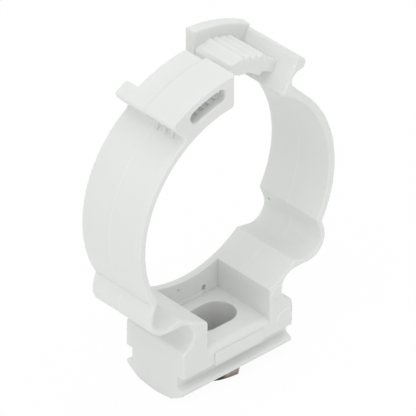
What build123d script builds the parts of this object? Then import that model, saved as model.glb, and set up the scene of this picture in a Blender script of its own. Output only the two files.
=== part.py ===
from build123d import *
import os
from math import acos, asin, cos, degrees, radians, sin, sqrt

# Pipe clip: one plastic moulding with a hexagon nut held in its underside.
# X runs along the base, Y along the pipe, Z up; the thread axis is the Z axis
# and the nut's underside is at Z = 0. Millimetres and degrees.
# Angles round the pipe are counted from straight up, positive towards +X.

# Ring: the two spring arms that go round the pipe
pipe_radius = 25.0
seat_height = 17.25
band_width = 17.7
band_wall = 1.7
rim_bevel = 0.33

# Spring loops between the base and the arms
loop_outset = 0.45
loop_mouth = 9.6
loop_bore = 3.7
loop_wall = 1.15
loop_lip = 0.47

# Base with a slide rail on each long side
base_length = 30.25
saddle_wall = 6.55
scoop_radius = 3.6
scoop_wall = 0.91
end_round = 1.0
block_underside = 7.15
block_round = 1.5
nut_standout = 0.9
rail_foot_width = 10.0
rail_foot_round = 2.0
rail_lip_inset = 0.4
rail_lip_rise = 2.1
rail_lip_wall = 0.9
rail_lip_round = 0.4
groove_depth = 1.95
groove_height = 2.5

# Screw pocket between the two halves of the saddle
pocket_floor = 11.8
pocket_back_wall = 1.95
pocket_front_round = 1.45
ledge_height = 0.95
ledge_proud = 0.3
ledge_end = 4.2
slit_width = 1.0
slit_height = 1.4
slit_depth = 0.9
slit_rise = 0.67
slot_width = 8.0
slot_length = 12.4
panel_length = 13.2
panel_height = 3.1
panel_proud = 0.3

# Latch box on the end of the left arm, its heights counted from the band
box_height = 6.05
box_mouth = 1.3
box_back = 5.0
box_step = 0.35
box_mouth_step = 0.6
step_position = 0.3
box_corner_round = 1.1
box_wall = 1.95
channel_lift = 0.5
channel_roof_wall = 1.15
channel_end_angle = 26.0
window_sill = 0.65
window_head = 0.75
window_start = 7.4
window_end = 25.7
window_round = 1.3

# Thumb lip behind the box
lip_angle = 33.9
lip_root_angle = 31.6
lip_length = 7.1
lip_tip_round = 0.85
lip_root_round = 1.0
web_positions = (-1.8, -4.35, -6.9)
web_wall = 0.35
web_reach = 2.2

# Lever on the end of the right arm, its height counted from the band
lever_angle = 28.3
lever_height = 6.8
lever_head = 2.85
lever_head_wall = 2.15
lever_round = 0.9
lever_throat = 1.0
throat_round = 1.85
lever_foot = 7.2

# Guide wall and toothed tongue on the lever
guide_rise = 1.05
guide_wall = 2.6
guide_clearance = 0.35
guide_end = 1.3
guide_overlap = 0.6
guide_round = 0.4
tongue_width = 10.15
tongue_lift = 1.1
tongue_bow = 0.2
tongue_root_wall = 2.4
tongue_edge_round = 0.8
nose_angle = 3.0
nose_turn = 0.9
nose_bevel = 0.4
nose_drop = 1.1
hook_angle = 20.8
hook_turn = 0.4
hook_reach = 0.9
scallop_radius = 0.42
scallop_height = 0.22
scallop_count = 3

# Ratchet teeth: the tongue's tips bite past the roof of the channel
tooth_pitch = 3.4
tooth_height = 0.8
tooth_bite = 0.45
tooth_count = 4
first_tooth_angle = 7.0
steep_share = 0.12
tooth_root = 0.4
roof_tooth_height = 0.75
channel_tooth_count = 6
floor_tooth_height = 0.55

# Hexagon nut, turned as it lies in its seat
nut_across_flats = 13.0
nut_height = 4.0
nut_bore = 6.8
nut_fit = 0.05
nut_turn = -20.0
nut_chamfer_angle = 25.0
nut_face_share = 0.98
thread_chamfer = 0.6

# Round marks of the ejector pins on the front: (X, Z, radius), and on the ring (radius, angle, radius)
base_pin_marks = ((13.05, 9.9, 1.95), (10.95, 17.05, 1.55), (-13.05, 9.9, 1.95), (-10.95, 17.05, 1.55))
ring_pin_marks = ((31.2, -30.0, 1.25), (31.4, 25.2, 1.35))
pin_mark_depth = 0.07
pin_hole = (-2.4, 15.8, 0.25)
pin_hole_depth = 0.5

# How far cutting and joined shapes run past the face they meet
overlap = 0.5

half_width = band_width / 2
half_base = base_length / 2
pocket_half = half_base - saddle_wall
axis_height = seat_height + pipe_radius
band_radius = pipe_radius + band_wall
base_bottom = nut_standout
rail_top = block_underside + block_round
lower_lip_angle = 180 - degrees(asin((half_base + loop_lip) / pipe_radius))
upper_lip_angle = lower_lip_angle - degrees(loop_mouth / pipe_radius)
loop_angle = (lower_lip_angle + upper_lip_angle) / 2
box_radius = band_radius + box_height
box_end = lip_root_angle - 1
channel_floor = band_radius + channel_lift
channel_roof = box_radius - channel_roof_wall
lever_radius = band_radius + lever_height
guide_front = half_width - guide_wall
guide_radius = lever_radius + guide_rise
tongue_front = guide_front - tongue_width
tongue_low = channel_floor + tongue_lift
tooth_radius = channel_roof + tooth_bite


def on_ring(radius, angle):
    """Point of the XZ plane at a radius and an angle round the pipe axis."""
    turn = radians(angle)
    return (radius * sin(turn), axis_height + radius * cos(turn))


def ring_part(inner, outer, start, end):
    """Part of a ring round the pipe axis between two angles."""
    centre = (0, axis_height)
    arcs = [CenterArc(centre, r, 90 - end, end - start) for r in (inner, outer)]
    sides = [Line(on_ring(inner, a), on_ring(outer, a)) for a in (start, end)]
    return make_face(Wire(arcs + sides))


def slab(outline, front, back):
    """Outline of the XZ plane given depth between two Y positions."""
    return extrude(Plane.XZ.offset(-back) * outline, amount=back - front)


def pipe_circle(radius=pipe_radius):
    """Circle round the pipe axis in the XZ plane."""
    return Pos(0, axis_height) * Circle(radius)


def beyond(x):
    """Large rectangle of the XZ plane that covers all above the pipe axis to the right of X."""
    return Pos(x, axis_height) * Rectangle(2 * box_radius, 2 * box_radius, align=(Align.MIN, Align.MIN))


def round_corner(outline, corner, radius):
    """Outline with the corner nearest to a point rounded."""
    return fillet(outline.vertices().sort_by_distance((*corner, 0))[0], radius)


def tangent_point(centre, radius, outside, side):
    """Point where the line from an outside point touches a circle, on its left or right side."""
    gap = Vector(*outside) - Vector(*centre)
    turn = side * degrees(acos(radius / gap.length))
    return Vector(*centre) + gap.normalized().rotate(Axis.Z, turn) * radius


def loop_outline(spread):
    """Mouth corners of a spring loop, its tangent points and its far point, set out by a wall."""
    centre = Vector(*on_ring(pipe_radius + loop_outset, loop_angle))
    corners = []
    for angle, side in ((upper_lip_angle, -1), (lower_lip_angle, 1)):
        lip = Vector(*on_ring(pipe_radius, angle))
        touch = tangent_point(centre, loop_bore, lip, side)
        out = (touch - centre).normalized()
        corners.append((lip, lip + out * spread, touch + out * spread))
    return centre, corners


def trough():
    """Open hollow of a spring loop, flared to the two lips and on a little into the pipe."""
    centre, ((upper, _, high), (lower, _, low)) = loop_outline(0)
    away = (centre * 2 - (upper + lower) / 2 - centre).normalized()
    bend = ThreePointArc(high, centre + away * loop_bore, low)
    upper += (upper - high).normalized() * overlap
    lower += (lower - low).normalized() * overlap
    return make_face(Wire([Line(upper, high), bend, Line(low, lower), Line(lower, upper)]))


def side_profile():
    """Right half of the base above the rail, its saddle, the spring loop and the arm."""
    centre, ((upper, shoulder, high), (lower, _, _)) = loop_outline(loop_wall)
    outer = loop_bore + loop_wall
    bottom = centre - Vector(0, outer)
    top = lower.Y + overlap
    bend = ThreePointArc(bottom, centre + Vector(outer, 0), high)
    path = Polyline(high, shoulder, upper, (lower.X, top), (0, top), (0, bottom.Y), bottom)
    loop = make_face(Wire([bend, *path.edges()]))
    scoop_height = bottom.Y - scoop_radius
    reach = pipe_radius + scoop_wall + scoop_radius
    scoop_x = sqrt(reach**2 - (axis_height - scoop_height) ** 2)
    corner = (Align.MIN, Align.MIN)
    base = Pos(0, block_underside) * Rectangle(half_base, scoop_height - block_underside, align=corner)
    neck = Pos(0, scoop_height) * Rectangle(scoop_x, scoop_radius + loop_wall / 2, align=corner)
    scoop = Pos(scoop_x, scoop_height) * Circle(scoop_radius)
    arm = ring_part(pipe_radius, band_radius, lever_angle, upper_lip_angle + loop_wall)
    side = base + neck + loop - scoop
    corner_height = scoop_height - sqrt(scoop_radius**2 - (scoop_x - half_base) ** 2)
    side = round_corner(side, (half_base, corner_height), end_round)
    side = round_corner(side, (half_base, block_underside), block_round)
    return side + arm - trough() - pipe_circle()


def lever_profile():
    """Lever: a thin throat under a thick rounded head, with a long foot on the arm."""
    head_low = lever_radius - lever_head_wall
    foot_low = sqrt(band_radius**2 - lever_foot**2)
    throat = (lever_throat + throat_round, (head_low + band_radius) / 2)
    outline = Polyline(
        (0, pipe_radius),
        (0, lever_radius),
        (lever_head, lever_radius),
        (lever_head, throat[1] - throat_round),
        (lever_foot, foot_low),
        (lever_foot, foot_low - band_wall),
        close=True,
    )
    block = round_corner(make_face(outline), (lever_head, lever_radius), lever_round)
    bore = CenterArc(throat, throat_round, 0, 360)
    mouth = Line((lever_head + throat_round, head_low + throat_round), (lever_foot, foot_low))
    upright = block - make_hull([bore, mouth])
    return Pos(0, axis_height) * Rot(0, 0, -lever_angle) * upright - pipe_circle()


def lip_profile(outer):
    """Thumb lip that leans back from the arm behind the box."""
    side = lip_length - lip_angle
    outline = Polyline(
        on_ring(pipe_radius, side),
        on_ring(outer + overlap, side),
        on_ring(outer + overlap, -lip_angle - (lip_angle - lip_root_angle) * overlap / box_height),
        on_ring(band_radius, -lip_root_angle),
        on_ring(pipe_radius, -lip_root_angle),
        close=True,
    )
    lip = make_face(outline) & pipe_circle(outer)
    lip = round_corner(lip, on_ring(outer, -lip_angle), lip_tip_round)
    foot = ring_part(pipe_radius, band_radius, -lip_root_angle - lip_length, -box_end)
    lip = round_corner(lip + foot, on_ring(band_radius, -lip_root_angle), lip_root_round)
    return lip - pipe_circle()


def box_profile(outer, mouth):
    """Side of the latch box with its thumb lip, from the lip to the mouth."""
    box = ring_part(pipe_radius, outer, -box_end, box_mouth) - beyond(-mouth)
    bottom = (-mouth, axis_height + sqrt(pipe_radius**2 - mouth**2))
    box = round_corner(box, bottom, box_corner_round)
    return box + lip_profile(outer)


def left_band():
    """End of the left arm that runs on under the box to its mouth."""
    band = ring_part(pipe_radius, band_radius, -lever_angle - lip_length, box_mouth)
    return band - beyond(-box_mouth - box_mouth_step)


def saw(base, height, first, count, steep_first):
    """Saw teeth on a circle: a positive height points outwards, a negative one inwards."""
    teeth = Sketch()
    steep = steep_share * tooth_pitch
    root = base - tooth_root if height > 0 else base + tooth_root
    for number in range(count):
        start = first + number * tooth_pitch
        peak = start + steep if steep_first else start + tooth_pitch - steep
        outline = Polyline(
            on_ring(root, start),
            on_ring(base, start),
            on_ring(base + height, peak),
            on_ring(base, start + tooth_pitch),
            on_ring(root, start + tooth_pitch),
            close=True,
        )
        teeth += make_face(outline)
    return teeth


def tongue_profile():
    """Toothed tongue: a blunt nose, four ratchet teeth on top, a stop hook below."""
    top = tooth_radius - tooth_height
    last_tooth_angle = first_tooth_angle + tooth_count * tooth_pitch
    half_pitch = tooth_pitch / 2
    outline = Polyline(
        on_ring(tongue_low + nose_bevel, nose_angle + nose_turn / 2),
        on_ring(top - nose_drop, nose_angle),
        on_ring(top - nose_bevel / 2, nose_angle + nose_turn),
        on_ring(top, first_tooth_angle),
        on_ring(top, last_tooth_angle),
        on_ring(tongue_low + tongue_root_wall, lever_angle + guide_overlap),
        on_ring(tongue_low - tongue_bow, lever_angle + guide_overlap),
        on_ring(tongue_low, hook_angle + tooth_pitch),
        on_ring(tongue_low - tongue_bow, hook_angle + 3 * hook_turn),
        on_ring(tongue_low - hook_reach, hook_angle + hook_turn),
        on_ring(tongue_low - hook_reach, hook_angle - hook_turn),
        on_ring(tongue_low, hook_angle - 2 * tooth_pitch),
        close=True,
    )
    blank = make_face(outline)
    teeth = saw(top, tooth_height, first_tooth_angle, tooth_count, False)
    first_scallop = hook_angle - 2 * tooth_pitch - scallop_count * half_pitch
    scallops = Sketch()
    for number in range(scallop_count):
        place = on_ring(tongue_low + scallop_radius - scallop_height, first_scallop + number * half_pitch)
        scallops += Pos(*place) * Circle(scallop_radius)
    return blank + teeth + scallops


def guide():
    """Guide wall that slides along the back of the box, with softened edges."""
    ring = ring_part(band_radius + guide_clearance, guide_radius, 0, lever_angle + guide_overlap)
    wall = slab(ring & beyond(guide_end), guide_front, half_width)
    rims = wall.edges().filter_by(GeomType.CIRCLE).sort_by(Axis.Z)[-2:]
    ends = wall.edges().filter_by(Axis.Z).sort_by(Axis.X)[:2]
    return fillet(rims + ends, guide_round)


def tongue():
    """Tongue across the box, its teeth rounded down at the front end."""
    blank = slab(tongue_profile(), tongue_front, guide_front)
    crown = Plane.YZ * make_face(
        Polyline(
            (tongue_front, axis_height),
            (tongue_front, axis_height + tooth_radius),
            (half_width, axis_height + tooth_radius),
            (half_width, axis_height),
            close=True,
        )
    )
    corner = crown.vertices().sort_by_distance((0, tongue_front, axis_height + tooth_radius))[0]
    rounded = revolve(fillet(corner, tongue_edge_round), Axis((0, 0, axis_height), (0, 1, 0)))
    return blank & rounded


def latch_box():
    """Latch box: a channel with ratchet teeth in its roof and floor, and a window in front."""
    low = box_radius - box_step
    box = slab(box_profile(box_radius, box_mouth), -half_width, -step_position)
    box += slab(box_profile(low, box_mouth + box_mouth_step), -step_position, box_back)
    channel = ring_part(channel_floor, channel_roof, -channel_end_angle, box_mouth)
    first = -(channel_tooth_count + 1) * tooth_pitch
    channel -= saw(channel_roof, -roof_tooth_height, first, channel_tooth_count, True)
    channel -= saw(channel_floor, floor_tooth_height, first, channel_tooth_count, True)
    box -= slab(channel, -half_width + box_wall, box_back)
    window_low = channel_floor + window_sill
    window_high = channel_roof - window_head
    window = ring_part(window_low, window_high, -window_end, -window_start)
    window = fillet(window.vertices(), window_round)
    return box - slab(window, -half_width, -half_width + box_wall)


def lip_webs():
    """Thin webs in the corner under the thumb lip."""
    root = Vector(*on_ring(band_radius, -lip_root_angle))
    tip = Vector(*on_ring(box_radius, -lip_angle))
    high = root + (tip - root).normalized() * web_reach
    inner = on_ring(band_radius - web_wall, -box_end)
    low = on_ring(band_radius - web_wall, -lip_root_angle - web_reach - web_wall)
    side = make_face(Polyline(inner, (high.X, high.Y), low, close=True))
    webs = [slab(side, y - web_wall / 2, y + web_wall / 2) for y in web_positions]
    return webs


def rail():
    """Slide rail: the foot of the base with a groove along both long sides."""
    tip = half_width - rail_lip_inset
    web = half_width - groove_depth
    foot = rail_foot_width / 2
    lip_low = base_bottom + rail_lip_rise
    lip_high = lip_low + rail_lip_wall
    side = Polyline(
        (0, base_bottom),
        (foot, base_bottom),
        (tip, lip_low),
        (tip, lip_high),
        (web, block_underside - groove_height),
        (web, rail_top),
        (0, rail_top),
        close=True,
    )
    half = round_corner(make_face(side), (foot, base_bottom), rail_foot_round)
    half = round_corner(half, (tip, lip_low), rail_lip_round)
    half = round_corner(half, (tip, lip_high), rail_lip_round)
    section = half + mirror(half, Plane.YZ)
    return extrude(Plane.YZ.offset(-half_base) * section, amount=base_length)


def pocket():
    """Screw pocket, open to the front and to the pipe."""
    hollow = Pos(0, pocket_floor) * Rectangle(
        2 * pocket_half, axis_height - pocket_floor, align=(Align.CENTER, Align.MIN)
    )
    return slab(hollow, -band_width, half_width - pocket_back_wall)


def nut_seat():
    """Six-sided recess for the nut and the long slot above it."""
    hexagon = RegularPolygon(nut_across_flats / 2 + nut_fit, 6, major_radius=False, rotation=nut_turn)
    recess = extrude(hexagon, nut_height)
    slot = extrude(SlotOverall(slot_length, slot_width), pocket_floor + overlap)
    return recess + slot


def panel():
    """Raised plain panel low on the front."""
    outline = Pos(0, block_underside) * Rectangle(
        panel_length, panel_height, align=(Align.CENTER, Align.MIN)
    )
    return slab(outline, -half_width - panel_proud, -half_width)


def pocket_ledge():
    """Low ledge along the back wall of the pocket and the slit at its end."""
    back = half_width - pocket_back_wall
    corner = (Align.MIN, Align.MIN)
    ledge = Pos(-pocket_half, pocket_floor) * Rectangle(pocket_half + ledge_end, ledge_height, align=corner)
    slit = Pos(ledge_end, pocket_floor + slit_rise) * Rectangle(slit_width, slit_height, align=corner)
    return slab(ledge, back - ledge_proud, back), slab(slit, back, back + slit_depth)


def pin_hole_cut():
    """Small hole left by a core pin in the pocket's back wall."""
    x, z, radius = pin_hole
    back = half_width - pocket_back_wall
    return slab(Pos(x, z) * Circle(radius), back, back + pin_hole_depth)


def pin_marks():
    """Shallow round marks of the ejector pins on the front faces."""
    places = list(base_pin_marks)
    for radius, angle, size in ring_pin_marks:
        places.append((*on_ring(radius, angle), size))
    marks = []
    for x, z, size in places:
        marks.append(slab(Pos(x, z) * Circle(size), -half_width, -half_width + pin_mark_depth))
    return marks


def arms():
    """Base block, loops and arms with the latch box and lever, all rims bevelled."""
    half = side_profile()
    body = slab(half + mirror(half, Plane.YZ) + lever_profile(), -half_width, half_width)
    low = box_radius - box_step
    body += slab(left_band() + lip_profile(low), -step_position, half_width)
    body += latch_box()
    faces = [f for f in body.faces().filter_by(Axis.Y) if abs(abs(f.center().Y) - half_width) < rim_bevel]
    return chamfer([edge for face in faces for edge in face.edges()], rim_bevel)


def clip_body():
    """The moulding: base, loops, arms, latch box, lever, guide wall and tongue."""
    body = arms() + guide() + tongue() + rail()
    for web in lip_webs():
        body += web
    body -= pocket()
    floor_edges = body.edges().filter_by(Axis.X).group_by(Axis.Y)[0]
    body = fillet(floor_edges.sort_by_distance((0, -half_width, pocket_floor))[0], pocket_front_round)
    ledge, slit = pocket_ledge()
    body = body + panel() + ledge - slit - pin_hole_cut() - nut_seat()
    for mark in pin_marks():
        body -= mark
    return body


def stud_nut():
    """Hexagon nut with both faces chamfered and a countersunk bore."""
    flat = nut_across_flats / 2
    corner = flat / cos(radians(30))
    face = nut_face_share * flat
    drop = (corner - face) * sin(radians(nut_chamfer_angle)) / cos(radians(nut_chamfer_angle))
    blank = extrude(RegularPolygon(flat, 6, major_radius=False, rotation=nut_turn), nut_height)
    turned = Polyline(
        (0, 0),
        (face, 0),
        (corner, drop),
        (corner, nut_height - drop),
        (face, nut_height),
        (0, nut_height),
        close=True,
    )
    envelope = revolve(Plane.XZ * make_face(turned), Axis.Z)
    bore_radius = nut_bore / 2
    mouth = bore_radius + thread_chamfer
    hole = Polyline(
        (0, 0),
        (mouth, 0),
        (bore_radius, thread_chamfer),
        (bore_radius, nut_height - thread_chamfer),
        (mouth, nut_height),
        (0, nut_height),
        close=True,
    )
    return (blank & envelope) - revolve(Plane.XZ * make_face(hole), Axis.Z)


if __name__ == "__main__":
    os.makedirs("parts", exist_ok=True)
    export_step(clip_body(), "parts/clip_body.step")
    export_step(stud_nut(), "parts/stud_nut.step")
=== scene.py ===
# Pipe clip with a nut in its underside: its small forms, finishes, studio and camera.
import math

import bmesh
import bpy
from mathutils import Euler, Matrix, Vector


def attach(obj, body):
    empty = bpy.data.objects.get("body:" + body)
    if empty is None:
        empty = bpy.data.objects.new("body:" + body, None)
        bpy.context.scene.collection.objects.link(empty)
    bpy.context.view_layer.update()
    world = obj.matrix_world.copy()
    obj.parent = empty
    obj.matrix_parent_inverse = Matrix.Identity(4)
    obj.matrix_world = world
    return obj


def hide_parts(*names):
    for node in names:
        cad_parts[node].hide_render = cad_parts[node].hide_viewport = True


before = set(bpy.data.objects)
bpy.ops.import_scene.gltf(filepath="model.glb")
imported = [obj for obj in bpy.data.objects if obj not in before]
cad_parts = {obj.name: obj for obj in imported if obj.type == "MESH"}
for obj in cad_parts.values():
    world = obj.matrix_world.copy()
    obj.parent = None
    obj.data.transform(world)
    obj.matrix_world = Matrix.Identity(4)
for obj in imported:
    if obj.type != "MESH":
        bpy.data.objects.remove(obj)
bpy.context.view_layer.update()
mm = 0.001
print("frame loaded:", sorted(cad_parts))

# Blender's names of the nodes that come up often
mathNode = "ShaderNodeMath"
vectorNode = "ShaderNodeVectorMath"
noiseNode = "ShaderNodeTexNoise"
rangeNode = "ShaderNodeMapRange"
bumpNode = "ShaderNodeBump"
mixNode = "ShaderNodeMix"


def hexToLinear(text):
    # sRGB hex to the linear colour a shader wants
    values = [int(text[i : i + 2], 16) / 255 for i in (1, 3, 5)]
    linear = [v / 12.92 if v <= 0.04045 else ((v + 0.055) / 1.055) ** 2.4 for v in values]
    return (*linear, 1.0)


def addNode(tree, kind, inputs=None, **settings):
    # one node with its settings; an input is a plain value or another node's output
    node = tree.nodes.new(kind)
    for name, value in settings.items():
        setattr(node, name, value)
    for socket, value in (inputs or {}).items():
        if isinstance(value, bpy.types.NodeSocket):
            tree.links.new(value, node.inputs[socket])
        else:
            node.inputs[socket].default_value = value
    return node


def newMaterial(name):
    material = bpy.data.materials.new(name)
    material.use_nodes = True
    material.node_tree.nodes.clear()
    return material, material.node_tree


def finishMaterial(tree, shader):
    addNode(tree, "ShaderNodeOutputMaterial", {"Surface": shader.outputs[0]})


# White polypropylene, injection moulded: a soft satin white with a hint of grey green in its depths,
# the fine skin of a spark eroded mould and a hairline where the two mould halves met.
plastic = {
    "white": "#E7E8E7",
    "shade": "#E1E3E1",
    "lineHighlightTone": "#F6F6F5",  # painted highlight: the parting line and the lit side of the pin rims are drawn a little lighter
    "lineHighlightShare": 0.32,
    "paintedInsideLightTone": "#FAFAF8",  # painted light: the walls inside the latch box are drawn lighter than the plastic, to brighten their shade
    "paintedInsideLightFrontY": -6.88 * mm,
    "roughness": 0.42,
    "ior": 1.49,
    "scatter": 0.3,  # how much light wanders inside the wall
    "scatterDepth": 1.5 * mm,
    "scatterReach": (1.0, 1.0, 0.9),
    "cloudSize": 14 * mm,  # slow drift of the melt's colour
    "skinGrain": 0.22 * mm,  # mould texture; the real one is finer and wouldn't show
    "skinHeight": 0.004 * mm,
    "flowSize": 5 * mm,
    "flowHeight": 0.012 * mm,
    "partingY": 0.4 * mm,
    "partingWidth": 0.2 * mm,
    "partingHeight": 0.02 * mm,
    "partingRadius": 27.3 * mm,  # the line shows on the ring and the saddle, and on the spring loops
    "partingLoopX": 15.6 * mm,
    "partingLoopZ": 33 * mm,
    "pipeAxis": (0, 0, 42.25 * mm),
    "pinRims": ((13.05, 9.9, 2.05), (10.95, 17.05, 1.65)),  # X, Z and radius in mm
    "pinRimWidth": 0.24 * mm,
    "pinRimFacing": (-0.5, 0, 0.87),  # the side of a rim that catches the light
    "pinRimFade": 0.6,  # share of the radius over which it fades in
    "frontY": -8.8 * mm,
}


def pinRimHighlightMask(tree, axes, flat):
    # 1 along the upper, lit side of the rims that the ejector pins left on the front face, where a highlight
    # is painted
    mask = addNode(tree, mathNode, {0: axes.outputs["Y"], 1: plastic["frontY"]}, operation="LESS_THAN")
    arcs = None
    for x, z, size in plastic["pinRims"]:
        centre = (x * mm, 0, z * mm)
        fromPin = addNode(tree, vectorNode, {0: flat.outputs[0], 1: centre}, operation="SUBTRACT")
        reach = addNode(tree, vectorNode, {0: fromPin.outputs[0]}, operation="LENGTH")
        height = addNode(
            tree, vectorNode, {0: fromPin.outputs[0], 1: plastic["pinRimFacing"]}, operation="DOT_PRODUCT"
        )
        rim = addNode(
            tree,
            mathNode,
            {0: reach.outputs["Value"], 1: size * mm, 2: plastic["pinRimWidth"] / 2},
            operation="COMPARE",
        )
        full = size * plastic["pinRimFade"] * mm
        fade = addNode(tree, rangeNode, {"Value": height.outputs["Value"], "From Max": full})
        arc = addNode(tree, mathNode, {0: rim.outputs[0], 1: fade.outputs[0]}, operation="MULTIPLY")
        before = arcs.outputs[0] if arcs else 0.0
        arcs = addNode(tree, mathNode, {0: arc.outputs[0], 1: before}, operation="MAXIMUM")
    return addNode(tree, mathNode, {0: mask.outputs[0], 1: arcs.outputs[0]}, operation="MULTIPLY")


def partingMask(tree, axes, flat):
    # 1 on the parting line: one Y all round, within a radius of the pipe axis or out at the loops
    off = addNode(tree, mathNode, {0: axes.outputs["Y"], 1: plastic["partingY"]}, operation="SUBTRACT")
    away = addNode(tree, mathNode, {0: off.outputs[0]}, operation="ABSOLUTE")
    line = addNode(
        tree,
        rangeNode,
        {"Value": away.outputs[0], "From Max": plastic["partingWidth"], "To Min": 1.0, "To Max": 0.0},
        interpolation_type="SMOOTHSTEP",
    )
    radius = addNode(tree, vectorNode, {0: flat.outputs[0], 1: plastic["pipeAxis"]}, operation="DISTANCE")
    near = addNode(
        tree, mathNode, {0: radius.outputs["Value"], 1: plastic["partingRadius"]}, operation="LESS_THAN"
    )
    sideways = addNode(tree, mathNode, {0: axes.outputs["X"]}, operation="ABSOLUTE")
    out = addNode(
        tree, mathNode, {0: sideways.outputs[0], 1: plastic["partingLoopX"]}, operation="GREATER_THAN"
    )
    low = addNode(tree, mathNode, {0: axes.outputs["Z"], 1: plastic["partingLoopZ"]}, operation="LESS_THAN")
    loop = addNode(tree, mathNode, {0: out.outputs[0], 1: low.outputs[0]}, operation="MULTIPLY")
    shown = addNode(tree, mathNode, {0: near.outputs[0], 1: loop.outputs[0]}, operation="MAXIMUM")
    return addNode(tree, mathNode, {0: line.outputs[0], 1: shown.outputs[0]}, operation="MULTIPLY")


def makePlastic():
    material, tree = newMaterial("mouldedPolypropylene")
    place = addNode(tree, "ShaderNodeTexCoord").outputs["Object"]
    axes = addNode(tree, "ShaderNodeSeparateXYZ", {"Vector": place})
    flat = addNode(tree, vectorNode, {0: place, 1: (1, 0, 1)}, operation="MULTIPLY")
    line = partingMask(tree, axes, flat)
    rims = pinRimHighlightMask(tree, axes, flat)

    # colour: the slow cloud, then painted light on the walls inside the latch box, then the painted highlight
    # on the parting line and the lit side of the pin rims, each laid over what is below
    cloud = addNode(tree, noiseNode, {"Vector": place, "Scale": 1 / plastic["cloudSize"], "Detail": 3.0})
    # painted light: lightens the shaded walls inside the latch box
    inside = addNode(tree, "ShaderNodeAttribute", attribute_name="paintedInsideLightShare")
    paintedInsideLightMask = addNode(tree, mathNode, {0: axes.outputs["Y"], 1: plastic["paintedInsideLightFrontY"]}, operation="GREATER_THAN")
    paintedInsideLightMask = addNode(tree, mathNode, {0: paintedInsideLightMask.outputs[0], 1: inside.outputs["Fac"]}, operation="MULTIPLY")
    # painted highlight along the parting line and the lit side of the pin rims
    light = addNode(tree, mathNode, {0: line.outputs[0], 1: plastic["lineHighlightShare"]}, operation="MULTIPLY")
    light = addNode(tree, mathNode, {0: light.outputs[0], 1: rims.outputs[0]}, operation="MAXIMUM")
    colour = hexToLinear(plastic["shade"])
    for share, tone in (
        (cloud.outputs["Fac"], plastic["white"]),
        (paintedInsideLightMask.outputs[0], plastic["paintedInsideLightTone"]),
        (light.outputs[0], plastic["lineHighlightTone"]),
    ):
        layer = {"Factor": share, "A": colour, "B": hexToLinear(tone)}
        colour = addNode(tree, mixNode, layer, data_type="RGBA").outputs["Result"]

    # surface: softened edges, the mould's skin, slow flow ripples, and the parting line a little proud
    softness = addNode(tree, "ShaderNodeAttribute", attribute_name="edgeSoftness")
    soft = addNode(tree, "ShaderNodeBevel", {"Radius": softness.outputs["Fac"]}, samples=8)
    grain = addNode(tree, noiseNode, {"Vector": place, "Scale": 1 / plastic["skinGrain"], "Detail": 2.0})
    flow = addNode(tree, noiseNode, {"Vector": place, "Scale": 1 / plastic["flowSize"], "Detail": 1.0})
    surface = soft
    for height, rise in (
        (grain.outputs["Fac"], plastic["skinHeight"]),
        (flow.outputs["Fac"], plastic["flowHeight"]),
        (line.outputs[0], plastic["partingHeight"]),
    ):
        surface = addNode(
            tree, bumpNode, {"Height": height, "Distance": rise, "Normal": surface.outputs[0]}
        )
    shader = addNode(
        tree,
        "ShaderNodeBsdfPrincipled",
        {
            "Base Color": colour,
            "Roughness": plastic["roughness"],
            "IOR": plastic["ior"],
            "Subsurface Weight": plastic["scatter"],
            "Subsurface Scale": plastic["scatterDepth"],
            "Subsurface Radius": plastic["scatterReach"],
            "Normal": surface.outputs[0],
        },
    )
    finishMaterial(tree, shader)
    return material


# Mild steel nut, cold formed and zinc plated: a warm grey metal, brighter in random patches.
zinc = {
    "bright": "#C2B7AF",
    "dull": "#6C5D52",
    "paintedReflectionTone": "#2A1D14",  # a painted dark reflection beside one corner
    "paintedReflectionPlace": (-3.6 * mm, -6.3 * mm, 1.0 * mm),
    "paintedReflectionSize": 2.7 * mm,
    "paintedReflectionCore": 0.55,  # share of its size that is fully dark
    "roughness": 0.28,
    "patchSize": 1.6 * mm,
    "scratchSize": 0.35 * mm,
    "scratchHeight": 0.006 * mm,
}


def makeZinc():
    material, tree = newMaterial("zincPlatedSteel")
    place = addNode(tree, "ShaderNodeTexCoord").outputs["Object"]
    patch = addNode(tree, noiseNode, {"Vector": place, "Scale": 1 / zinc["patchSize"], "Detail": 4.0})
    # painted dark reflection: a dark blotch beside one corner of the nut
    away = addNode(tree, vectorNode, {0: place, 1: zinc["paintedReflectionPlace"]}, operation="DISTANCE")
    paintedReflectionShare = addNode(
        tree,
        rangeNode,
        {
            "Value": away.outputs["Value"],
            "From Min": zinc["paintedReflectionSize"] * zinc["paintedReflectionCore"],
            "From Max": zinc["paintedReflectionSize"],
            "To Min": 1.0,
            "To Max": 0.0,
        },
    )
    colour = hexToLinear(zinc["dull"])
    for share, tone in ((patch.outputs["Fac"], zinc["bright"]), (paintedReflectionShare.outputs[0], zinc["paintedReflectionTone"])):
        layer = {"Factor": share, "A": colour, "B": hexToLinear(tone)}
        colour = addNode(tree, mixNode, layer, data_type="RGBA").outputs["Result"]
    scratch = addNode(tree, noiseNode, {"Vector": place, "Scale": 1 / zinc["scratchSize"], "Detail": 3.0})
    worn = addNode(tree, bumpNode, {"Height": scratch.outputs["Fac"], "Distance": zinc["scratchHeight"]})
    shader = addNode(
        tree,
        "ShaderNodeBsdfPrincipled",
        {
            "Base Color": colour,
            "Metallic": 1.0,
            "Roughness": zinc["roughness"],
            "Normal": worn.outputs[0],
        },
    )
    finishMaterial(tree, shader)
    return material


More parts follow.
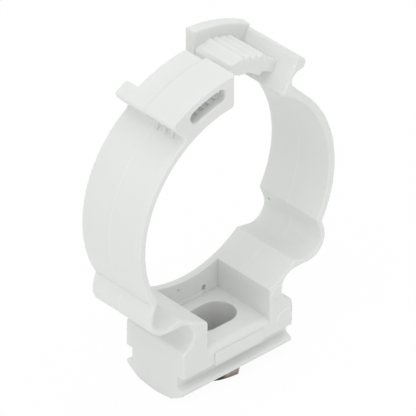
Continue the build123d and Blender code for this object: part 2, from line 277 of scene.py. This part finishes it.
# The moulding: the CAD solid with the small forms and softenings that the photograph shows.
# Angles are degrees round the pipe axis, from straight up towards +X.
body = {
    "turnLimit": 28,  # an edge that turns by more stays sharp
    "weld": 0.0005 * mm,
    "same": 0.002 * mm,  # two planes nearer than this are one
    "past": 1.0 * mm,  # how far a cutter stands out of the plastic
    "pipeAxisZ": 42.25 * mm,
    "bandRadius": 26.7 * mm,
    "halfWidth": 8.85 * mm,
    # thumb lip
    "lipRadius": 32.4 * mm,
    "lipFrontRoot": -31.6,
    "lipFrontTip": -33.9,
    "lipBack": -26.8,
    "lipCorner": 1.25 * mm,
    "lipCornerSteps": 8,
    "lipMargin": 1.6 * mm,
    "lipGap": 0.03 * mm,
    "lipRootRound": 1.0 * mm,
    "lipRootSteps": 6,
    # fins under the lip
    "finCut": (-7.3 * mm, -1.4 * mm),
    "finGap": 0.02 * mm,
    "finClearRise": (2.5 * mm, 2.7 * mm),
    "finClearOut": 0.8 * mm,
    "finClearEnd": (0.3, -0.4),  # from the foot of the fins
    "finPlaces": (-1.0 * mm, -3.3 * mm, -5.45 * mm),
    "finWall": 0.32 * mm,
    "finRise": 1.5 * mm,
    "finFootEnd": -34.9,
    "finSinkRoot": 0.6 * mm,
    "finSinkEnds": 0.5 * mm,
    # base block's lower end edges
    "blockEnd": 15.125 * mm,
    "blockLow": 7.15 * mm,
    "blockRound": 1.5 * mm,
    "blockRoundNew": 0.5 * mm,
    "blockArc": (-0.4 * mm, 0.01 * mm),  # how far from the old round a point may be
    "blockSlack": 0.001 * mm,
    "blockFaceY": 6.85 * mm,
    # valleys down the tongue's front end
    "valleys": 5,
    "valleyShift": 0.15,  # share of a tooth pitch
    "toothStart": 7.0,
    "toothPitch": 3.4,
    "toothTop": 32.3 * mm,
    "valleyRise": 0.3 * mm,
    "valleyDrop": 2.4 * mm,
    "valleyOut": 0.5 * mm,
    "valleyRadii": (0.9 * mm, 0.45 * mm),
    "valleySides": 20,
    "tongueEnd": -3.9 * mm,
    # gas pit in the right trough
    "pitPlace": (22.6 * mm, 6.8 * mm, 27.4 * mm),
    "pitRadius": 0.28 * mm,
    "pitDepth": 0.6 * mm,
    "pitSides": 10,
    # ejector pins' marks
    "pinMarkFloor": -8.78 * mm,
    "pinMarkProud": 0.07 * mm,
    "pinMarkPlain": 0.001 * mm,
    "plainCorner": (-13.05 * mm, 9.9 * mm, 2.1 * mm),  # no mark shows at this one
    # rail foot's underside
    "footZ": (0.5 * mm, 1.2 * mm),
    "facingDown": -0.9,  # largest Z of the normal of a face that looks down
    "archSteps": 12,
    "archCutReach": 0.0001 * mm,
    "archHalf": 5.3 * mm,
    "archDrop": 0.5 * mm,
    # latch channel
    "channelRadii": (27.0 * mm, 31.8 * mm),
    "channelAngles": (-27, -0.5),
    "channelFront": -6.95 * mm,
    # edges
    "softEdge": 0.26 * mm,
    "softTooth": 0.16 * mm,
    "softFine": 0.05 * mm,
    "finAngles": (-36, -30.5),
    "finReach": 29.3 * mm,
    "teethAngles": (2, 29),
    "teethLow": 27.0 * mm,
    "teethY": (-4.2 * mm, 6.3 * mm),
}


def onRing(radius, angle, y=0.0):
    # a point at a radius and an angle round the pipe axis
    turn = math.radians(angle)
    return Vector((radius * math.sin(turn), y, body["pipeAxisZ"] + radius * math.cos(turn)))


def ringPlace(point):
    # radius and angle of a point round the pipe axis
    x, z = point.x, point.z - body["pipeAxisZ"]
    return math.hypot(x, z), math.degrees(math.atan2(x, z))


def ringDirection(angle):
    return onRing(1.0, angle) - Vector((0, 0, body["pipeAxisZ"]))


def between(value, limits):
    return limits[0] < value < limits[1]


def addLoft(mesh, rings):
    # a closed piece through rings of points
    rows = [[mesh.verts.new(point) for point in ring] for ring in rings]
    count = len(rings[0])
    for low, high in zip(rows, rows[1:]):
        for i in range(count):
            j = (i + 1) % count
            mesh.faces.new((low[i], low[j], high[j], high[i]))
    mesh.faces.new(list(reversed(rows[0])))
    mesh.faces.new(rows[-1])


def addPrism(mesh, outline, sides):
    # an outline in the plane of the ring, drawn from one Y to the other
    addLoft(mesh, [[Vector((point.x, y, point.z)) for point in outline] for y in sides])


def addCone(mesh, start, end, startRadius, endRadius, sides):
    axis = (end - start).normalized()
    across = axis.orthogonal().normalized()
    other = axis.cross(across)
    turns = [2 * math.pi * i / sides for i in range(sides)]
    rings = []
    for place, radius in ((start, startRadius), (end, endRadius)):
        rings.append([place + across * radius * math.cos(t) + other * radius * math.sin(t) for t in turns])
    addLoft(mesh, rings)


def smoothMesh(mesh, turnLimit):
    # smooth all over, but for the edges that turn by more than the limit
    for face in mesh.faces:
        face.smooth = True
    for edge in mesh.edges:
        edge.smooth = len(edge.link_faces) == 2 and edge.calc_face_angle() < math.radians(turnLimit)


def meshObject(name, mesh):
    bmesh.ops.recalc_face_normals(mesh, faces=mesh.faces)
    data = bpy.data.meshes.new(name)
    mesh.to_mesh(data)
    mesh.free()
    made = bpy.data.objects.new(name, data)
    bpy.context.scene.collection.objects.link(made)
    return made


def cornerCutter(mesh, low, high, along):
    # rounds one rear corner of the thumb lip: all outside a quarter circle, from its root past its tip
    radius, margin, steps = body["lipCorner"], body["lipMargin"], body["lipCornerSteps"]
    outline = [(-margin, margin), (radius, margin)]
    for step in range(steps + 1):
        turn = math.radians(90 + 90 * step / steps)
        outline.append((radius + radius * math.cos(turn), -radius + radius * math.sin(turn)))
    outline.append((-margin, -radius))
    back = Vector((0, body["halfWidth"], 0))
    rings = [[place + back + along * s + Vector((0, y, 0)) for s, y in outline] for place in (low, high)]
    addLoft(mesh, rings)


def lipCutters(mesh):
    foot = body["bandRadius"] + body["lipGap"]
    root = onRing(foot, body["lipFrontRoot"])
    tip = onRing(body["lipRadius"], body["lipFrontTip"])
    tip += (tip - root).normalized() * body["past"]
    cornerCutter(mesh, root, tip, ringDirection(body["lipFrontTip"] + 90))
    root = onRing(foot, body["lipBack"])
    tip = onRing(body["lipRadius"] + body["past"], body["lipBack"])
    cornerCutter(mesh, root, tip, ringDirection(body["lipBack"] - 90))


def valleyCutters(mesh):
    # the valleys between the tongue's teeth run down its front end and fade
    y = body["tongueEnd"] - body["valleyOut"]
    for number in range(body["valleys"]):
        angle = body["toothStart"] + (number + body["valleyShift"]) * body["toothPitch"]
        high = onRing(body["toothTop"] + body["valleyRise"], angle, y)
        low = onRing(body["toothTop"] - body["valleyDrop"], angle, y)
        addCone(mesh, high, low, *body["valleyRadii"], body["valleySides"])


def pitCutter(mesh):
    pit = Vector(body["pitPlace"])
    away = Vector((pit.x, 0, pit.z - body["pipeAxisZ"])).normalized()
    start, end = pit - away * body["past"], pit + away * body["pitDepth"]
    addCone(mesh, start, end, body["pitRadius"], body["pitRadius"], body["pitSides"])


def lipRoot():
    # the corner under the lip: its root, the way up the lip's side, the way out of it, the centre of its round
    root = onRing(body["bandRadius"], body["lipFrontRoot"])
    up = (onRing(body["lipRadius"], body["lipFrontTip"]) - root).normalized()
    out = Vector((-up.z, 0, up.x)) if up.z > 0 else Vector((up.z, 0, -up.x))
    axis = Vector((0, 0, body["pipeAxisZ"]))
    start = root + out * body["lipRootRound"] - axis
    reach = body["bandRadius"] + body["lipRootRound"]
    rise = -start.dot(up) + math.sqrt(start.dot(up) ** 2 - start.length_squared + reach**2)
    return root, up, out, start + axis + up * rise, axis


def finCutter(mesh):
    # clears the corner under the lip where the photograph has the fins in other places
    root, up, out, centre, axis = lipRoot()
    gap, far, steps = body["finGap"], body["finClearOut"], body["lipRootSteps"]
    riseNear, riseFar = body["finClearRise"]
    endNear, endFar = body["finClearEnd"]
    outline = [root + up * riseNear + out * gap]
    first, last = -out, (axis - centre).normalized()
    for step in range(steps + 1):
        outline.append(centre + first.slerp(last, step / steps) * (body["lipRootRound"] - gap))
    outline.append(onRing(body["bandRadius"] + gap, body["finFootEnd"] + endNear))
    outline.append(onRing(body["bandRadius"] + far, body["finFootEnd"] + endFar))
    outline.append(root + up * riseFar + out * far)
    addPrism(mesh, outline, body["finCut"])


def makeCutter():
    mesh = bmesh.new()
    lipCutters(mesh)
    valleyCutters(mesh)
    pitCutter(mesh)
    finCutter(mesh)
    return meshObject("cutter", mesh)


def makeFins():
    # three thin fins that brace the lip
    root, up, out, centre, axis = lipRoot()
    mesh = bmesh.new()
    inside = root + ((axis - root).normalized() - out) * body["finSinkRoot"]
    high = root + up * body["finRise"]
    low = onRing(body["bandRadius"], body["finFootEnd"])
    sink = body["finSinkEnds"]
    outline = [inside, high - out * sink, high, low, low + (axis - low).normalized() * sink]
    for place in body["finPlaces"]:
        addPrism(mesh, outline, (place - body["finWall"] / 2, place + body["finWall"] / 2))
    return meshObject("fins", mesh)


def squareBlock(mesh):
    # the block's lower end edges have a smaller round above the rail
    shift = body["blockRound"] - body["blockRoundNew"]
    centreX, centreZ = body["blockEnd"] - body["blockRound"], body["blockLow"] + body["blockRound"]
    slack = body["blockSlack"]
    for vert in mesh.verts:
        side = 1 if vert.co.x > 0 else -1
        x, z = abs(vert.co.x) - centreX, vert.co.z - centreZ
        reach = math.hypot(x, z)
        onRound = x > -slack and z < slack and between(reach - body["blockRound"], body["blockArc"])
        if onRound and abs(vert.co.y) > body["blockFaceY"]:
            keep = (reach - shift) / reach
            vert.co.x = side * (centreX + shift + x * keep)
            vert.co.z = centreZ - shift + z * keep


def raiseMarks(mesh):
    # the ejector pins' marks stand a hair proud of the front instead of below it
    x, z, reach = body["plainCorner"]
    for vert in mesh.verts:
        if abs(vert.co.y - body["pinMarkFloor"]) < body["same"]:
            plain = math.hypot(vert.co.x - x, vert.co.z - z) < reach
            vert.co.y = -body["halfWidth"] - (body["pinMarkPlain"] if plain else body["pinMarkProud"])


def footFaces(mesh):
    low = [face for face in mesh.faces if between(face.calc_center_median().z, body["footZ"])]
    return [face for face in low if face.normal.z < body["facingDown"]]


def archFoot(mesh):
    # the rail's underside is one shallow arc across
    under = footFaces(mesh)
    for step in range(1, body["archSteps"]):
        y = body["archHalf"] * (2 * step / body["archSteps"] - 1)
        edges = {edge for face in under for edge in face.edges}
        verts = {vert for face in under for vert in face.verts}
        bmesh.ops.bisect_plane(
            mesh,
            geom=[*under, *edges, *verts],
            plane_co=(0, y, 0),
            plane_no=(0, 1, 0),
            dist=body["archCutReach"],
        )
        under = footFaces(mesh)
    for vert in {vert for face in under for vert in face.verts}:
        share = abs(vert.co.y) / body["archHalf"]
        if share < 1:
            vert.co.z -= body["archDrop"] * (1 + math.cos(math.pi * share)) / 2


def writeAttribute(data, name, values):
    data.attributes.new(name, "FLOAT", "POINT").data.foreach_set("value", values)


def softenEdges(data):
    # how wide each edge reads: broad all over, fine on the teeth, finest on the fins and the pin marks
    values = []
    for vert in data.vertices:
        radius, angle = ringPlace(vert.co)
        y = vert.co.y
        onFins = between(angle, body["finAngles"]) and radius < body["finReach"] and y < 0
        onMark = abs(y + body["halfWidth"] + body["pinMarkProud"]) < body["same"]
        onTongue = between(angle, body["teethAngles"]) and between(y, body["teethY"])
        plain = body["softTooth"] if onTongue and radius > body["teethLow"] else body["softEdge"]
        values.append(body["softFine"] if onFins or onMark else plain)
    writeAttribute(data, "edgeSoftness", values)


def markPaintedInsideLight(data):
    # 1 on the walls inside the latch box, where painted light brightens their shade, 0 elsewhere
    values = []
    for vert in data.vertices:
        radius, angle = ringPlace(vert.co)
        inBox = between(radius, body["channelRadii"]) and between(angle, body["channelAngles"])
        values.append(1.0 if inBox and vert.co.y > body["channelFront"] else 0.0)
    writeAttribute(data, "paintedInsideLightShare", values)


def makeClip():
    piece = bpy.data.objects.new("mouldedClip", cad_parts["clip_body"].data.copy())
    bpy.context.scene.collection.objects.link(piece)
    mesh = bmesh.new()
    mesh.from_mesh(piece.data)
    bmesh.ops.remove_doubles(mesh, verts=mesh.verts, dist=body["weld"])
    squareBlock(mesh)
    raiseMarks(mesh)
    archFoot(mesh)
    mesh.to_mesh(piece.data)
    mesh.free()
    tools = {"DIFFERENCE": makeCutter(), "UNION": makeFins()}
    for operation, tool in tools.items():
        step = piece.modifiers.new(tool.name, "BOOLEAN")
        step.operation, step.solver, step.object = operation, "MANIFOLD", tool
    bpy.context.view_layer.update()
    shaped = bpy.data.meshes.new_from_object(piece.evaluated_get(bpy.context.evaluated_depsgraph_get()))
    piece.modifiers.clear()
    piece.data = shaped
    for tool in tools.values():
        bpy.data.objects.remove(tool)
    mesh = bmesh.new()
    mesh.from_mesh(piece.data)
    smoothMesh(mesh, body["turnLimit"])
    mesh.to_mesh(piece.data)
    mesh.free()
    softenEdges(piece.data)
    markPaintedInsideLight(piece.data)
    return piece


clip = makeClip()
clip.data.materials.clear()
clip.data.materials.append(makePlastic())
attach(clip, "root")
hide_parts("clip_body")
print("moulding dressed:", len(clip.data.polygons), "faces")

# The nut: formed hexagon, both faces turned down at the corners, a cut thread in the bore
nutForm = {
    "acrossFlats": 13.0 * mm,
    "height": 4.0 * mm,
    "turn": -20.0,
    "turnLimit": 20,
    "faceShare": 0.98,
    "faceAngle": 25.0,
    "threadTip": 3.4 * mm,
    "threadRoot": 4.0 * mm,
    "threadPitch": 1.25 * mm,
    "threadSlope": 2.6,  # how steep a flank is, in depths per pitch
    "threadCrest": 0.2,  # share of the depth taken off for the flat crest
    "columns": 96,
    "rowsPerPitch": 8,
}


def threadColumn(angle):
    # radius and height of one column of the bore, from the lower mouth to the upper one
    height, tip, root = nutForm["height"], nutForm["threadTip"], nutForm["threadRoot"]
    rows = round(height / nutForm["threadPitch"] * nutForm["rowsPerPitch"])
    column = []
    for row in range(rows + 1):
        z = height * row / rows
        phase = (z / nutForm["threadPitch"] - angle / (2 * math.pi)) % 1.0
        depth = min(max(nutForm["threadSlope"] * abs(phase - 0.5) - nutForm["threadCrest"], 0.0), 1.0)
        mouth = root - min(z, height - z)
        column.append((max(tip + (root - tip) * depth, mouth), z))
    return column


def makeNut():
    flat = nutForm["acrossFlats"] / 2
    face = flat * nutForm["faceShare"]
    top = nutForm["height"]
    slope = math.tan(math.radians(nutForm["faceAngle"]))
    mesh = bmesh.new()
    columns = []
    for number in range(nutForm["columns"]):
        angle = 2 * math.pi * number / nutForm["columns"]
        fromFlat = (angle + math.pi / 6) % (math.pi / 3) - math.pi / 6
        edge = flat / math.cos(fromFlat)
        drop = (edge - face) * slope
        profile = threadColumn(angle) + [(face, top), (edge, top - drop), (edge, drop), (face, 0)]
        turn = angle + math.radians(nutForm["turn"] + 30)
        columns.append([mesh.verts.new((r * math.cos(turn), r * math.sin(turn), z)) for r, z in profile])
    for this, after in zip(columns, columns[1:] + columns[:1]):
        for i in range(len(this)):
            j = (i + 1) % len(this)
            mesh.faces.new((this[i], after[i], after[j], this[j]))
    smoothMesh(mesh, nutForm["turnLimit"])
    return meshObject("threadedNut", mesh)


nut = makeNut()
nut.data.materials.append(makeZinc())
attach(nut, "root")
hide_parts("stud_nut")
print("nut cut:", len(nut.data.polygons), "faces")

# Studio: one white sweep, one large soft key from the upper left, a weaker fill from the right
studio = {
    "floorSize": 3.0,
    "floorWhite": "#FAFAFA",
    "floorOwnLight": 0.95,  # share of the floor that shows as plain white, the rest takes the shadow
    "worldLevel": 0.79,
    "lampAim": (0, 0, 38 * mm),
    "keyPlace": (-0.55, -0.2, 0.85),
    "keySize": 0.9,
    "keyPower": 2.05,
    "fillPlace": (0.25, -0.1, 1.0),
    "fillSize": 0.7,
    "fillPower": 1.15,
}
plainWhite = (1, 1, 1, 1)


def seenMask(tree, *rays):
    # 1 for the named kinds of ray
    path = addNode(tree, "ShaderNodeLightPath")
    seen = path.outputs[rays[0]]
    for ray in rays[1:]:
        seen = addNode(tree, mathNode, {0: seen, 1: path.outputs[ray]}, operation="MAXIMUM").outputs[0]
    return seen


def makeFloor():
    mesh = bpy.data.meshes.new("floor")
    half = studio["floorSize"] / 2
    corners = [(-half, -half, 0), (half, -half, 0), (half, half, 0), (-half, half, 0)]
    mesh.from_pydata(corners, [], [(0, 1, 2, 3)])
    floor = bpy.data.objects.new("floor", mesh)
    bpy.context.scene.collection.objects.link(floor)
    material, tree = newMaterial("paperSweep")
    seen = seenMask(tree, "Is Camera Ray", "Is Glossy Ray", "Is Transmission Ray")
    share = addNode(tree, mathNode, {0: seen, 1: studio["floorOwnLight"]}, operation="MULTIPLY")
    paper = addNode(tree, "ShaderNodeBsdfDiffuse", {"Color": hexToLinear(studio["floorWhite"])})
    glow = addNode(tree, "ShaderNodeEmission", {"Color": plainWhite, "Strength": 1.0})
    mix = addNode(tree, "ShaderNodeMixShader", {0: share.outputs[0], 1: paper.outputs[0], 2: glow.outputs[0]})
    finishMaterial(tree, mix)
    mesh.materials.append(material)


def makeWorld():
    world = bpy.data.worlds.new("studio")
    world.use_nodes = True
    bpy.context.scene.world = world
    tree = world.node_tree
    tree.nodes.clear()
    seen = seenMask(tree, "Is Camera Ray", "Is Transmission Ray")
    level = addNode(tree, rangeNode, {"Value": seen, "To Min": studio["worldLevel"], "To Max": 1.0})
    light = addNode(tree, "ShaderNodeBackground", {"Color": plainWhite, "Strength": level.outputs[0]})
    addNode(tree, "ShaderNodeOutputWorld", {"Surface": light.outputs[0]})


def addLamp(name):
    data = bpy.data.lights.new(name, "AREA")
    data.shape = "DISK"
    data.size = studio[name + "Size"]
    data.energy = studio[name + "Power"]
    lamp = bpy.data.objects.new(name, data)
    lamp.location = studio[name + "Place"]
    away = Vector(studio["lampAim"]) - Vector(studio[name + "Place"])
    lamp.rotation_euler = away.to_track_quat("-Z", "Y").to_euler()
    bpy.context.scene.collection.objects.link(lamp)


makeFloor()
makeWorld()
addLamp("key")
addLamp("fill")
print("studio lit")

# Camera: worked out from the photograph's own edges, so the clip falls where it lies there
view = {
    "place": (-572.11 * mm, -627.94 * mm, 601.75 * mm),
    "turn": (56.4505, -0.0777, -42.2620),
    "lens": 435.616,
    "filmWidth": 36.0,
    "farLimit": 10,
}
camera = bpy.data.objects.new("camera", bpy.data.cameras.new("camera"))
camera.location = view["place"]
camera.rotation_euler = Euler([math.radians(angle) for angle in view["turn"]])
camera.data.sensor_width = view["filmWidth"]
camera.data.lens = view["lens"]
camera.data.clip_end = view["farLimit"]
bpy.context.scene.collection.objects.link(camera)
bpy.context.scene.camera = camera
bpy.context.scene.view_settings.view_transform = "Standard"
print("camera set")
